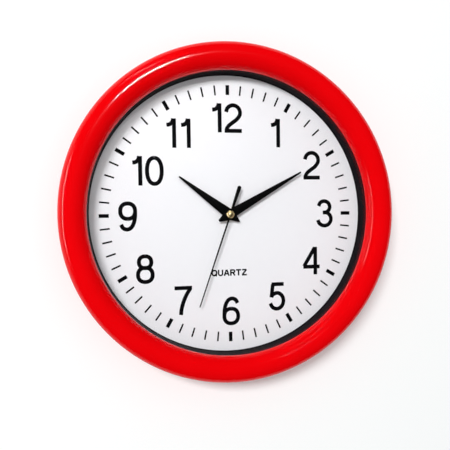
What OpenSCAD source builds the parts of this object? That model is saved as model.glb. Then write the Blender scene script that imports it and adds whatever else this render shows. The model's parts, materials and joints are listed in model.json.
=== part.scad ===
// Round battery wall clock, Ø300 mm.
//
// Every module is drawn face on: x to the right and y up as the clock is read,
// and z is the height above the wall. face_on() then stands the clock up, so in
// the finished frame +X is right, +Z is up, the dial looks along -Y, and the
// origin is on the hands' axis in the plane of the wall.

/* [Case] */
// Outer diameter of the bezel
outer_d = 300; // [290:1:320]
// Radius of the bezel's half-round crown
crown_r = 12; // [11:0.5:13]
// Depth from the wall to the top of the crown
case_depth = 48.5; // [48:0.5:54]
// Wall thickness of the moulded shells
wall_t = 2.2; // [1.8:0.1:2.4]
// How far the bezel's flank draws in towards the wall
flank_inset = 5.5; // [4:0.5:6]
// Number of screws that hold the case together
screw_count = 6; // [4:1:8]

/* [Dial and glass] */
// Height of the dial's face above the wall
dial_h = 20; // [20:0.5:20.5]
// Thickness of the dial plate
dial_t = 0.8; // [0.6:0.1:1]
// Thickness of the glass
glass_t = 2; // [1.5:0.1:2.5]

/* [Hands] */
// Clock angle of the hour hand, clockwise from twelve
hour_angle = 306.8; // [0:0.1:360]
// Clock angle of the minute hand
minute_angle = 60.5; // [0:0.1:360]
// Clock angle of the second hand
second_angle = 199.4; // [0:0.1:360]
// Length of the hour hand from its hole to its tip
hour_len = 57; // [50:0.5:60]
// Length of the minute hand
minute_len = 77; // [70:0.5:85]
// Length of the second hand
second_len = 88; // [80:0.5:95]
// Sheet thickness of the hour and minute hands
hand_t = 0.4; // [0.3:0.05:0.5]

/* [Movement] */
// Width and height of the movement's case
mov_w = 56; // [56:0.5:56.5]
// Height of the movement's rear face above the wall
mov_back = 3.2; // [3:0.1:3.2]
// Wall thickness of the movement's case
mov_wall = 1.2; // [1:0.1:1.3]
// Gap between a tooth and the next wheel's teeth, measured along the pitch circle
backlash = 0.05; // [0.04:0.01:0.07]
// Clearance of an arbor in its bearing, on the radius
run_gap = 0.05; // [0.03:0.01:0.06]

/* [Hidden] */
$fn = 96;
eps = 0.01;

// Case, worked out from the driving sizes
outer_r = outer_d / 2;
crown_c = outer_r - crown_r;
crown_h = case_depth - crown_r;
sight_r = crown_c - crown_r;
flank_back = 10;
flank_r = (pow(crown_h - flank_back, 2) + pow(flank_inset, 2)) / (2 * flank_inset);
lip_h = crown_h - 0.8;
seat_r = sight_r + 5.4;
skirt_r = seat_r + 0.4;
plate_h = 12;
plate_t = 2;
plate_r = outer_r - flank_inset - wall_t + 0.5;
dial_back = dial_h - dial_t;
screw_ring = crown_c + 0.6;
boss_r = 3.6;
pilot_r = 1.3;
rim_r = sight_r + 6.5;
rim_t = 2.5;
window = mov_w + 3.2;
frame_t = 2;

// Hanger: a keyhole in a raised box near the top of the rear case
hang_y = 98;
hang_head_r = 5;
hang_slot_w = 5;
hang_slot_len = 9;
hang_face_h = 2;
hang_face_t = 2;

// Movement, all heights above the wall
mov_front = dial_back - 0.5;
clip_len = 5.4;
cover_t = 1.2;
cover_h = mov_back + cover_t;
room_top = mov_front - 1.2;
bay_wall_y = -11.2;
bush_r = 4;
bush_top = dial_h + 3;
bridge_h = 11.2;
bridge_t = 0.8;

// Arbors and pipes on the hands' axis, outer radii
second_r = 0.55;
minute_r = 1.75;
hour_r = 2.75;
pivot_r = 0.3;
arbor_r = 0.5;
setting_r = 1.2;

// Gear train: tooth counts and modules. The rotor turns 30 times a minute.
z_rotor = 8;
z_inter = 48;
z_inter_pinion = 10;
z_second = 50;
z_second_pinion = 8;
z_third = 60;
z_third_pinion = 8;
z_centre = 64;
z_cannon = 12;
z_motion = 36;
z_motion_pinion = 10;
z_hour = 40;
m_rotor = 0.25;
m_inter = 0.3;
third_cd = 8.64;
m_second = 2 * third_cd / (z_second_pinion + z_third);
m_third = 2 * third_cd / (z_third_pinion + z_centre);
motion_cd = 9.6;
m_cannon = 2 * motion_cd / (z_cannon + z_motion);
m_motion = 2 * motion_cd / (z_motion_pinion + z_hour);
inter_cd = m_inter * (z_inter_pinion + z_second) / 2;
rotor_cd = m_rotor * (z_rotor + z_inter) / 2;

// Where the off-centre arbors stand
third_dir = 35;
inter_dir = 120;
rotor_dir = 150;
motion_dir = 180;
third_at = third_cd * [cos(third_dir), sin(third_dir)];
inter_at = inter_cd * [cos(inter_dir), sin(inter_dir)];
rotor_at = inter_at + rotor_cd * [cos(rotor_dir), sin(rotor_dir)];
motion_at = motion_cd * [cos(motion_dir), sin(motion_dir)];

// Coil and circuit board
coil_y = 21;
coil_len = 24;
coil_h = 9.1;
winding_r = 3.6;
core_w = 3;
core_t = 1;
stator_t = 0.8;
board_h = 4.9;
board_t = 0.8;

// Battery: an AA cell lying across the bottom of the movement
cell_r = 7.25;
cell_len = 49.2;
cell_nub = 1.2;
cell_y = -19;
cell_x = -24.9;
cell_h = room_top - 0.3 - cell_r;

// ---------------------------------------------------------------- helpers

// Stands a face-on drawing up against the wall
module face_on() {
    rotate([90, 0, 0]) children();
}

// A disc from height h0 to h1
module disc(r, h0, h1) {
    translate([0, 0, h0]) cylinder(r = r, h = h1 - h0);
}

// A washer or pipe from height h0 to h1
module pipe(r_out, r_in, h0, h1) {
    difference() {
        disc(r_out, h0, h1);
        disc(r_in, h0 - eps, h1 + eps);
    }
}

// A box given by two corners
module box(low, high) {
    translate(low) cube(high - low);
}

// A rectangle with round corners, centred
module rounded(w, h, r) {
    square([w - 2 * r, h], center = true);
    square([w, h - 2 * r], center = true);
    for (x = [-1, 1], y = [-1, 1])
        translate([x * (w / 2 - r), y * (h / 2 - r)]) circle(r = r);
}

// Repeats its children round the hands' axis
module around(count, first = 0) {
    for (k = [0 : count - 1]) rotate([0, 0, first + k * 360 / count]) children();
}

// Involute gears. A pinion's teeth are shifted out so that they aren't undercut,
// and the wheel that meets it is shifted in by as much.
pressure = 20;
function inv(a) = tan(a) - a * PI / 180;
function shift_of(pinion) = 0.9 * (17 - pinion) / 17;
function root_r(m, z, x) = m * (z / 2 - 1.25 + x);
function tip_r(m, z, x) = m * (z / 2 + 0.9 + x);
function half_tooth(m, z, x, r) =
    let (base = m * z / 2 * cos(pressure))
    let (pitch_half = (PI / 2 + 2 * x * tan(pressure) - backlash / m) / z)
    (pitch_half + inv(pressure) - inv(acos(min(1, base / r)))) * 180 / PI;
function flank_radii(m, z, x) =
    let (low = max(m * z / 2 * cos(pressure), root_r(m, z, x)), high = tip_r(m, z, x))
    [low, low + 0.45 * (high - low), high];
function polar(r, a) = r * [cos(a), sin(a)];
function tooth(m, z, x, a) =
    let (radii = flank_radii(m, z, x), foot = half_tooth(m, z, x, radii[0]))
    concat(
        [polar(root_r(m, z, x), a - foot)],
        [for (r = radii) polar(r, a - half_tooth(m, z, x, r))],
        [for (i = [2 : -1 : 0]) polar(radii[i], a + half_tooth(m, z, x, radii[i]))],
        [polar(root_r(m, z, x), a + foot)]);

// A spur gear with one tooth centred on the angle phase
module gear(m, z, x, phase, h0, h1) {
    teeth = [for (k = [0 : z - 1]) each tooth(m, z, x, phase + k * 360 / z)];
    translate([0, 0, h0]) linear_extrude(height = h1 - h0) polygon(teeth);
}

// The phase of a gear that meshes with another, which stands at phase p in direction d
function mesh_phase(p, z_from, z_to, d) = d + 180 + (180 - (p - d) * z_from) / z_to;

// ------------------------------------------------------------------- case

// Upper half of the crown's section, as a filled half disc
module crown_half(r) {
    intersection() {
        translate([crown_c, crown_h]) circle(r = r);
        translate([crown_c - r, crown_h]) square([2 * r, r]);
    }
}

// Section under the flank's long arc, drawn in by inset
module flank_half(inset, low) {
    intersection() {
        translate([outer_r - flank_r, crown_h]) circle(r = flank_r - inset, $fn = 360);
        translate([crown_c, low]) square([crown_r, crown_h - low]);
    }
}

// Section of the bezel's shell, with the lip over the glass and the skirt round it
module bezel_section() {
    difference() {
        crown_half(crown_r);
        crown_half(crown_r - wall_t);
    }
    difference() {
        flank_half(0, flank_back);
        flank_half(wall_t, flank_back - 1);
    }
    translate([sight_r, lip_h]) square([skirt_r + wall_t - sight_r, crown_h - lip_h]);
    translate([sight_r + 1, crown_h - eps]) square([skirt_r + wall_t - sight_r - 1, wall_t - 0.8]);
    translate([skirt_r, plate_h + plate_t + 1]) square([wall_t, lip_h - plate_h - plate_t - 1 + eps]);
}

module bezel() color([0.86, 0.01, 0.02]) face_on() difference() {
    union() {
        rotate_extrude() bezel_section();
        around(screw_count, 90) translate([screw_ring, 0, 0])
            disc(boss_r, plate_h + plate_t, crown_h + crown_r - wall_t + 0.1);
    }
    around(screw_count, 90) translate([screw_ring, 0, 0]) disc(pilot_r, plate_h, plate_h + 18);
}

module glass() color([0.85, 0.93, 0.95, 0.35]) face_on() disc(seat_r, lip_h - glass_t, lip_h);

// Black ring that keeps the glass off the dial. Its wall leans out towards the glass.
module spacer_ring() color([0.06, 0.05, 0.06]) face_on() rotate_extrude() {
    top = lip_h - glass_t;
    polygon([
        [sight_r - 1, dial_h], [seat_r, dial_h], [seat_r, dial_h + 1.6], [sight_r + 1.6, dial_h + 1.6],
        [sight_r + 2, top - 1.6], [seat_r, top - 1.6], [seat_r, top], [sight_r + 0.3, top],
        [sight_r - 0.5, dial_h + 2.4], [sight_r - 1, dial_h + 1.9]
    ]);
}

module dial() color([0.95, 0.95, 0.98]) face_on() pipe(seat_r, bush_r + 0.1, dial_back, dial_h);

// Outline of the keyhole: a round hole for the screw's head and a slot up to its seat
module keyhole() {
    circle(r = hang_head_r);
    translate([-hang_slot_w / 2, 0]) square([hang_slot_w, hang_slot_len]);
    translate([0, hang_slot_len]) circle(r = hang_slot_w / 2);
}

module rear_case() color([0.07, 0.07, 0.08]) face_on() difference() {
    union() {
        disc(plate_r, plate_h, plate_h + plate_t);
        pipe(rim_r, rim_r - rim_t, 0, plate_h + eps);
        pipe(sight_r, sight_r - rim_t, plate_h, dial_back);
        around(12, 15) box([40, -0.8, plate_h - 2.5], [rim_r - 1, 0.8, plate_h + eps]);
        box([-window / 2 - frame_t, -window / 2 - frame_t, plate_h - 4],
            [window / 2 + frame_t, window / 2 + frame_t, plate_h + plate_t]);
        translate([0, hang_y + 3, hang_face_h]) linear_extrude(height = plate_h - hang_face_h + eps)
            rounded(26, 36, 4);
    }
    box([-window / 2, -window / 2, 0], [window / 2, window / 2, dial_h]);
    translate([0, hang_y + 3, hang_face_h + hang_face_t]) linear_extrude(height = dial_h) rounded(22, 32, 2);
    translate([0, hang_y, hang_face_h - 1]) linear_extrude(height = hang_face_t + 2) keyhole();
    around(screw_count, 90) translate([screw_ring, 0, 0]) disc(1.7, plate_h - 1, plate_h + plate_t + 1);
}

// Pan-head screws with a cross recess
module case_screws() color([0.7, 0.71, 0.73]) face_on() around(screw_count, 90)
    translate([screw_ring, 0, 0]) difference() {
        union() {
            disc(3, plate_h - 1.8, plate_h);
            disc(pilot_r - 0.02, plate_h - eps, plate_h + 14);
        }
        for (a = [0, 90]) rotate([0, 0, a])
            box([-1.7, -0.35, plate_h - 2], [1.7, 0.35, plate_h - 0.8]);
    }

// --------------------------------------------------------------- fixing

module dial_gasket() color([0.1, 0.1, 0.1]) face_on() pipe(9, bush_r + 0.1, mov_front, dial_back);

module fixing_washer() color([0.8, 0.65, 0.3]) face_on() pipe(4.9, bush_r + 0.1, dial_h, dial_h + 0.4);

module fixing_nut() color([0.8, 0.65, 0.3]) face_on() difference() {
    translate([0, 0, dial_h + 0.4]) cylinder(r = 4.75 / cos(30), h = 2, $fn = 6);
    disc(bush_r, dial_h, dial_h + 3);
}

// ------------------------------------------------------- movement housing

module movement_case() color([0.09, 0.09, 0.1]) face_on() difference() {
    inner = mov_w / 2 - mov_wall;
    union() {
        translate([0, 0, cover_h]) linear_extrude(height = mov_front - cover_h) rounded(mov_w, mov_w, 3);
        translate([0, 0, mov_back]) linear_extrude(height = cover_t + eps) intersection() {
            rounded(mov_w, mov_w, 3);
            translate([-mov_w, -mov_w]) square([2 * mov_w, mov_w + bay_wall_y]);
        }
        disc(bush_r, mov_front - eps, bush_top);
    }
    difference() {
        box([-inner, bay_wall_y + 1, cover_h - 1], [inner, inner, room_top]);
        bridge_posts(bridge_h + bridge_t);
    }
    box([-inner, -inner, 0], [inner, bay_wall_y, room_top]);
    box([-8, -mov_w, 0], [8, -inner + 1, mov_back + 7]);
    disc(hour_r + run_gap, room_top - 1, bush_top + 1);
    translate(motion_at) disc(0.6 + run_gap, room_top - 1, room_top + 0.8);
    for (x = [-1, 1]) box([x * 25.4 - 1.4, bay_wall_y - 1, 0], [x * 25.4 + 1.4, bay_wall_y + 2, board_h + 4]);
}

// Posts inside the case that the train bridge stands on
module bridge_posts(low) {
    for (p = [[-21, -7], [21, -7], [21, 14], [-21, 8]])
        translate(p) disc(1.6, low, room_top + 1);
}

module movement_cover() color([0.12, 0.12, 0.13]) face_on() difference() {
    union() {
        translate([0, 0, mov_back]) linear_extrude(height = cover_t) intersection() {
            rounded(mov_w, mov_w, 3);
            translate([-mov_w, bay_wall_y]) square([2 * mov_w, 2 * mov_w]);
        }
        for (x = [-1, 1], y = [-4, 18])
            box([x * (mov_w / 2 + 0.5) - 0.5, y - 3, mov_back], [x * (mov_w / 2 + 0.5) + 0.5, y + 3, mov_back + clip_len]);
        for (p = [[20.5, 13], [20.5, -6], [-20, -8]]) translate(p) disc(1.5, cover_h - eps, board_h);
        for (x = [-1, 1]) translate([x * (coil_len / 2 - 0.5), coil_y]) disc(1.5, cover_h - eps, coil_h - 4);
    }
    translate(motion_at) disc(setting_r + run_gap, 0, dial_h);
    disc(second_r + run_gap, mov_back + 0.4, dial_h);
    for (p = [third_at, inter_at, rotor_at])
        translate(p) disc(pivot_r + run_gap, mov_back + 0.4, dial_h);
}

// Plate between the front and rear halves of the train
module train_bridge() color([0.85, 0.85, 0.82]) face_on() difference() {
    translate([0, 0, bridge_h]) linear_extrude(height = bridge_t) union() {
        translate([-23, -9]) square([46, 20]);
        translate([-23, 10]) square([30, 5.6]);
        translate([18, 10]) square([5, 6]);
    }
    disc(second_r + run_gap, 0, dial_h);
    translate(third_at) disc(arbor_r + run_gap, 0, dial_h);
    translate(motion_at) disc(setting_r + run_gap, 0, dial_h);
    for (p = [inter_at, rotor_at]) translate(p) disc(pivot_r + run_gap, 0, dial_h);
}

// -------------------------------------------------------------- electrics

module circuit_board() color([0.1, 0.35, 0.15]) face_on() translate([0, 0, board_h])
    linear_extrude(height = board_t) {
        translate([-26.2, bay_wall_y + 1.4]) square([52.4, 4]);
        translate([15, bay_wall_y + 1.4]) square([11.2, 26]);
    }

module clock_chip() color([0.05, 0.05, 0.05]) face_on() translate([20.5, 2, board_h + board_t])
    intersection() {
        translate([0, 0, -2.4]) sphere(r = 3.8);
        disc(4, 0, 2);
    }

module quartz_crystal() color([0.75, 0.76, 0.78]) face_on()
    translate([20.5, 7, board_h + board_t + 1.2]) rotate([-90, 0, 0]) cylinder(r = 1.15, h = 7);

// Plastic former: a square tube with a flange at each end
module coil_bobbin() color([0.9, 0.9, 0.86]) face_on() difference() {
    union() {
        box([-coil_len / 2, coil_y - 2.2, coil_h - 1.2], [coil_len / 2, coil_y + 2.2, coil_h + 1.2]);
        for (x = [-coil_len / 2, coil_len / 2 - 1])
            box([x, coil_y - 4, coil_h - 4], [x + 1, coil_y + 4, coil_h + 4]);
    }
    box([-20, coil_y - core_w / 2, coil_h - core_t / 2], [20, coil_y + core_w / 2, coil_h + core_t / 2]);
}

module coil_winding() color([0.72, 0.38, 0.16]) face_on() difference() {
    translate([-coil_len / 2 + 1, coil_y, coil_h]) rotate([0, 90, 0]) cylinder(r = winding_r, h = coil_len - 2);
    box([-20, coil_y - 2.2, coil_h - 1.2], [20, coil_y + 2.2, coil_h + 1.2]);
}

module coil_core() color([0.6, 0.6, 0.62]) face_on()
    box([-18, coil_y - core_w / 2, coil_h - core_t / 2], [17, coil_y + core_w / 2, coil_h + core_t / 2]);

// Flat pole piece: it rings the rotor and runs to both ends of the core
module stator() color([0.66, 0.66, 0.68]) face_on()
    translate([0, 0, coil_h + core_t / 2]) linear_extrude(height = stator_t) difference() {
        union() {
            translate(rotor_at) circle(r = 5);
            translate([-18, rotor_at[1]]) square([4, coil_y + 1.5 - rotor_at[1]]);
            translate([rotor_at[0], 13.4]) square([17 - rotor_at[0], 3]);
            translate([13.5, 13.4]) square([3.5, coil_y + 1.5 - 13.4]);
        }
        translate(rotor_at) circle(r = 3.6);
        translate(rotor_at + [-0.3, 4.2]) square([0.6, 4]);
        translate(rotor_at + [-0.3, -8.2]) square([0.6, 4]);
    }

// Battery contacts: a strip up the end of the bay with a foot on the circuit board
module contact_strip(x0, x1) {
    box([x0, cell_y - 5, 6], [x1, cell_y + 5, 15]);
    box([x0, cell_y, 6], [x1, bay_wall_y + 2, 7.4]);
    box([x0, bay_wall_y + 1.6, board_h + board_t], [x1, bay_wall_y + 3.2, 7.4]);
}

module contact_positive() color([0.78, 0.79, 0.8]) face_on() contact_strip(25.9, 26.3);

// The negative contact has a pressed cone that bears on the cell's flat end
module contact_negative() color([0.78, 0.79, 0.8]) face_on() {
    contact_strip(-26.7, -26.3);
    translate([-26.3 - eps, cell_y, cell_h]) rotate([0, 90, 0]) cylinder(r1 = 3, r2 = 1.6, h = 1.05);
}

// ------------------------------------------------------------ rear train

module rotor_magnet() color([0.3, 0.3, 0.32]) face_on()
    translate(rotor_at) pipe(3, arbor_r, 8.9, 10.9);

module rotor_pinion() color([0.92, 0.92, 0.88]) face_on() translate(rotor_at) {
    phase = mesh_phase(0, z_inter, z_rotor, rotor_dir);
    gear(m_rotor, z_rotor, shift_of(z_rotor), phase, 7, 8.1);
    disc(arbor_r, 5.6, 11);
    disc(pivot_r, mov_back + 0.6, 11.8);
}

module intermediate_wheel() color([0.93, 0.9, 0.8]) face_on() translate(inter_at) {
    phase = mesh_phase(0, z_second, z_inter_pinion, inter_dir);
    gear(m_rotor, z_inter, -shift_of(z_rotor), 0, 7.3, 7.8);
    gear(m_inter, z_inter_pinion, shift_of(z_inter_pinion), phase, 8.4, 9.45);
    disc(arbor_r, 6, 10.8);
    disc(pivot_r, mov_back + 0.6, 11.8);
}

module third_wheel() color([0.93, 0.9, 0.8]) face_on() translate(third_at) {
    phase = mesh_phase(0, z_second_pinion, z_third, third_dir);
    gear(m_second, z_third, -shift_of(z_second_pinion), phase, 10.2, 10.8);
    gear(m_third, z_third_pinion, shift_of(z_third_pinion), 0, 12.8, 13.8);
    disc(arbor_r, 9.7, 14.2);
    disc(pivot_r, mov_back + 0.6, 9.8);
}

module centre_wheel() color([0.88, 0.88, 0.84]) face_on() difference() {
    phase = mesh_phase(0, z_third_pinion, z_centre, third_dir + 180);
    gear(m_third, z_centre, -shift_of(z_third_pinion), phase, 13, 13.6);
    disc(minute_r + run_gap, 12, 15);
}

module clutch_spring() color([0.7, 0.7, 0.72]) face_on() pipe(3.1, minute_r + run_gap, 13.6, 14.1);

module second_wheel() color([0.93, 0.9, 0.8]) face_on() difference() {
    union() {
        gear(m_inter, z_second, -shift_of(z_inter_pinion), 0, 8.8, 9.4);
        gear(m_second, z_second_pinion, shift_of(z_second_pinion), 0, 9.9, 11);
        disc(0.95, 8.2, 10);
    }
    disc(second_r, 8, 12);
}

// -------------------------------------------------------- hands and pipes

module second_arbor() color([0.75, 0.76, 0.78]) face_on() disc(second_r, mov_back + 0.6, dial_h + 7.6);

// The minute pipe carries the cannon pinion and the minute hand
module minute_pipe() color([0.93, 0.93, 0.9]) face_on() difference() {
    union() {
        disc(minute_r, 12.4, dial_h + 5.2);
        disc(minute_r - 0.25, 12.4, dial_h + 6);
        gear(m_cannon, z_cannon, shift_of(z_cannon), 0, 14.4, 15.6);
    }
    disc(second_r + run_gap, 12, dial_h + 7);
}

module motion_wheel() color([0.93, 0.93, 0.9]) face_on() translate(motion_at) {
    phase = mesh_phase(0, z_cannon, z_motion, motion_dir);
    gear(m_cannon, z_motion, -shift_of(z_cannon), phase, 14.6, 15.4);
    gear(m_motion, z_motion_pinion, shift_of(z_motion_pinion), 0, 16.1, 17.2);
    disc(setting_r, 1.4, 16.1 + eps);
    disc(0.6, 16, room_top + 0.6);
}

// Knob on the back that sets the hands
module setting_knob() color([0.85, 0.85, 0.85]) face_on() translate(motion_at) difference() {
    disc(6, 0.8, 2.8);
    disc(setting_r, 1.4, 3);
    around(20) translate([6.2, 0, 0]) disc(0.5, 0, 3);
}

module hour_wheel() color([0.93, 0.93, 0.9]) face_on() difference() {
    phase = mesh_phase(0, z_motion_pinion, z_hour, motion_dir + 180);
    union() {
        gear(m_motion, z_hour, -shift_of(z_motion_pinion), phase, 16.3, 17.1);
        disc(hour_r, 16.3, dial_h + 3.5);
        disc(hour_r - 0.25, 16.3, dial_h + 4.3);
    }
    disc(minute_r + run_gap, 16, dial_h + 5);
}

// A tapered hand with its widest place at back, a blunt tip and a short tail
module hand(len, tip_w, wide, back, tail, tail_w, hole_r, h0, thick, clock_angle) {
    rotate([0, 0, -clock_angle]) translate([0, 0, h0]) linear_extrude(height = thick) difference() {
        polygon([
            [tip_w / 2, len], [wide / 2, -back], [tail_w / 2, -tail],
            [-tail_w / 2, -tail], [-wide / 2, -back], [-tip_w / 2, len]
        ]);
        circle(r = hole_r);
    }
}

module hour_hand() color([0.02, 0.02, 0.02]) face_on()
    hand(hour_len, 1.4, 10, 1.2, 11.3, 1, hour_r - 0.25, dial_h + 3.5, hand_t, hour_angle);

module minute_hand() color([0.02, 0.02, 0.02]) face_on()
    hand(minute_len, 1.5, 9.1, 3, 12, 1.8, minute_r - 0.25, dial_h + 5.2, hand_t, minute_angle);

// The second hand widens towards the round end of its counterweight
module second_hand() color([0.02, 0.02, 0.02]) face_on()
    rotate([0, 0, -second_angle]) translate([0, 0, dial_h + 6.9]) difference() {
        union() {
            linear_extrude(height = 0.3) polygon([
                [0.4, second_len], [0.65, 2], [0.85, -2], [1.8, -25.2],
                [-1.8, -25.2], [-0.85, -2], [-0.65, 2], [-0.4, second_len]
            ]);
            translate([0, -25.2]) disc(1.9, 0, 0.3);
            disc(2.4, 0, 0.3);
        }
        disc(second_r, -eps, 0.3 + eps);
    }

module second_collet() color([0.8, 0.65, 0.3]) face_on() pipe(1.4, second_r, dial_h + 6.3, dial_h + 6.9);

// Brass dome over the end of the second hand's arbor
module second_cap() color([0.85, 0.7, 0.35]) face_on() difference() {
    intersection() {
        translate([0, 0, dial_h + 7.2 - 2.6]) sphere(r = 4.36);
        disc(5, dial_h + 7.2, dial_h + 12);
    }
    disc(second_r, dial_h + 7, dial_h + 7.6);
}

// ---------------------------------------------------------------- battery

module battery_cell() color([0.15, 0.16, 0.18]) face_on()
    translate([cell_x, cell_y, cell_h]) rotate([0, 90, 0]) cylinder(r = cell_r, h = cell_len);

module battery_cap() color([0.8, 0.8, 0.82]) face_on()
    translate([cell_x + cell_len, cell_y, cell_h]) rotate([0, 90, 0]) cylinder(r = 2.75, h = cell_nub);

bezel();
glass();
spacer_ring();
dial();
rear_case();
case_screws();
dial_gasket();
fixing_washer();
fixing_nut();
movement_case();
movement_cover();
train_bridge();
circuit_board();
clock_chip();
quartz_crystal();
coil_bobbin();
coil_winding();
coil_core();
stator();
contact_positive();
contact_negative();
rotor_magnet();
rotor_pinion();
intermediate_wheel();
third_wheel();
centre_wheel();
clutch_spring();
second_wheel();
second_arbor();
second_collet();
second_hand();
second_cap();
minute_pipe();
minute_hand();
motion_wheel();
setting_knob();
hour_wheel();
hour_hand();
battery_cell();
battery_cap();
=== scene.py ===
# %% [markdown]
# # A round battery wall clock
# The clock is a red moulded bezel over a black rear case, with a glass, a printed dial, three
# hands and a small quartz movement. The working parts come ready made in the frame: this script
# gives them their finishes, and makes again the pieces whose looks need finer surfaces than a
# working drawing has. Sizes are written in millimetres and turned into Blender's metres in one
# place, so that each number can be checked with a ruler.

# %% The frame and the tools
import json
from math import cos, radians, sin, tau

import bpy
import numpy as np
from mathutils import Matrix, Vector


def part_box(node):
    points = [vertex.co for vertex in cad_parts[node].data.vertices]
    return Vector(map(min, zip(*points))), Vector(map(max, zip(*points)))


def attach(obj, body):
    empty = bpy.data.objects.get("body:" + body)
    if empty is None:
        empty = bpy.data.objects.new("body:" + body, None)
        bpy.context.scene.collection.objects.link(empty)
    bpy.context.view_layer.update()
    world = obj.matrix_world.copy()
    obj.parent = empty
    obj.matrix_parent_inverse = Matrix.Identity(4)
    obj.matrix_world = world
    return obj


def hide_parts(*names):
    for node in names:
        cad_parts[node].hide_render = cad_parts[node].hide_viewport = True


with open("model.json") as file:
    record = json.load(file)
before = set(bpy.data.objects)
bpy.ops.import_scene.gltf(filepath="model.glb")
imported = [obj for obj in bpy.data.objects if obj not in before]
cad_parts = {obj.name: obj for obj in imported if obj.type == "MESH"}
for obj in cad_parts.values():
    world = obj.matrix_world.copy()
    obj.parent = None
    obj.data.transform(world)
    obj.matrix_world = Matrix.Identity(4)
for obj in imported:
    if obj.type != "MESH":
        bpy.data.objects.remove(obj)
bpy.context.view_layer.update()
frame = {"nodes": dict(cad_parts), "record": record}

# %% [markdown]
# ## Reading sizes from the frame
# A drawing of a clock is made face on: x runs right, y runs up, and a third number is the height
# above the wall. Blender's Z is up, so the drawing stands up against the wall: its y becomes Z and
# its height becomes -Y. Every size that the frame already knows is read from it, so that a piece
# made here can't drift away from the part that it belongs to.

# %% Face-on drawing, millimetres
MM = 0.001


def face_on(node):
    """A node's box as the drawing has it: left, right, bottom, top, rear and front, in mm."""
    low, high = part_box(node)
    edges = {"left": low.x, "right": high.x, "bottom": low.z, "top": high.z}
    return {side: at / MM for side, at in {**edges, "rear": -high.y, "front": -low.y}.items()}


def stand(points):
    """Turns drawn points (x, y, height) in mm into the room's (x, -height, y) in metres."""
    drawn = np.asarray(points, float)
    return np.stack([drawn[..., 0], -drawn[..., 2], drawn[..., 1]], axis=-1) * MM


bezel_box = face_on("bezel")
dial_front = face_on("dial")["front"]
print("bezel radius", round(bezel_box["right"], 2), "front", round(bezel_box["front"], 2))

# %% [markdown]
# ## One way to make a surface
# Almost every moulded, turned or stamped piece of a clock is a closed line carried along another
# line. So one function takes grids of points, rows along and columns around, and lays a quad
# between each four neighbours. Blender could make the same shapes with Screw and Bevel modifiers,
# but a grid keeps each point where the formula puts it. The signed volume of each shell says
# whether its faces point outwards, and turns them if they don't.

# %% Skins over grids of points
def quads_over(number, capped):
    """Four neighbours for each face. Columns close on themselves, and so do rows unless capped."""
    beside = np.roll(number, -1, axis=1)
    quads = np.stack([number, beside, np.roll(beside, -1, axis=0), np.roll(number, -1, axis=0)], axis=-1)
    return (quads[:-1] if capped else quads).reshape(-1, 4)


def skin(name, grids, finish, body, capped=False, crease=32):
    """A shell over each grid of drawn points. Capped grids get a flat lid on the first and the last
    row. A shell's volume is a sixth of the sum of (first x second) . third over its triangles, and
    it is negative if the faces point inwards."""
    points, faces, start = [], [], 0
    for grid in grids:
        rows, columns = grid.shape[:2]
        number = np.arange(rows * columns).reshape(rows, columns)
        quads = quads_over(number, capped)
        placed = stand(grid).reshape(-1, 3)
        corner = (placed - placed.mean(axis=0))[quads].transpose(1, 0, 2)
        volume = sum((np.cross(corner[0], corner[k]) * corner[k + 1]).sum() for k in (1, 2))
        lids = [number[0][::-1], number[-1]] if capped else []
        turn = 1 if volume > 0 else -1
        faces += (start + quads[:, ::turn]).tolist()
        faces += [(start + lid[::turn]).tolist() for lid in lids]
        points.append(placed)
        start += rows * columns
    mesh = bpy.data.meshes.new(name)
    mesh.from_pydata(np.concatenate(points).tolist(), [], faces)
    mesh.shade_smooth()
    mesh.set_sharp_from_angle(angle=radians(crease))
    mesh.materials.append(finish)
    piece = bpy.data.objects.new(name, mesh)
    bpy.context.scene.collection.objects.link(piece)
    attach(piece, body)
    print(name, len(mesh.vertices), "points", len(mesh.polygons), "faces")
    return piece


print("a capped grid of 3 by 4 points has", len(quads_over(np.arange(12).reshape(3, 4), True)), "quads")

# %% [markdown]
# ## Lines to carry
# A moulded edge is never quite sharp, and the light that it catches is what makes it look real. A
# Bevel modifier would round every edge by one amount. Here outlines are drawn with plain corners,
# and a quadratic curve rounds each one by its own reach, so that a tight lip can sit beside a soft
# one.

# %% Outlines, arcs and turning
def softened(corners, reach, steps=5):
    """A closed outline with rounded corners. Each curve leaves one edge at reach before its corner
    and joins the next edge at reach after it, and a reach of 0 keeps the corner."""
    corner = np.asarray(corners, float)
    before = np.roll(corner, 1, axis=0) - corner
    after = np.roll(corner, -1, axis=0) - corner
    reach = np.broadcast_to(np.asarray(reach, float), len(corner))[:, None]
    leave = corner + before / np.linalg.norm(before, axis=1, keepdims=True) * reach
    join = corner + after / np.linalg.norm(after, axis=1, keepdims=True) * reach
    t = np.linspace(0, 1, steps)[:, None, None]
    curve = ((1 - t) ** 2 * leave + 2 * t * (1 - t) * corner + t**2 * join).transpose(1, 0, 2).reshape(-1, 2)
    return curve[np.linalg.norm(curve - np.roll(curve, 1, axis=0), axis=1) > 1e-6]


def arc(centre, across, up, start, stop, steps):
    """Points on an ellipse from one angle to another, in degrees, counter-clockwise from +x."""
    angle = np.radians(np.linspace(start, stop, steps))
    return np.asarray(centre) + np.stack([across * np.cos(angle), up * np.sin(angle)], axis=-1)


# A line that is turned stops this far from the axis, in mm, so that its points don't meet there.
NEAR_AXIS = 0.02


def turned(profile, count=360, centre=(0, 0)):
    """Carries a profile of (radius, height) round an upright axis through centre: x is the radius
    times the cosine of the angle, y is the radius times its sine, and the height stays."""
    line = np.asarray(profile, float)
    angle = np.arange(count) * tau / count
    radius, height = line[:, :1], line[:, 1:]
    x, y = centre[0] + radius * np.cos(angle), centre[1] + radius * np.sin(angle)
    return np.stack([x, y, np.broadcast_to(height, x.shape)], axis=-1)


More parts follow.
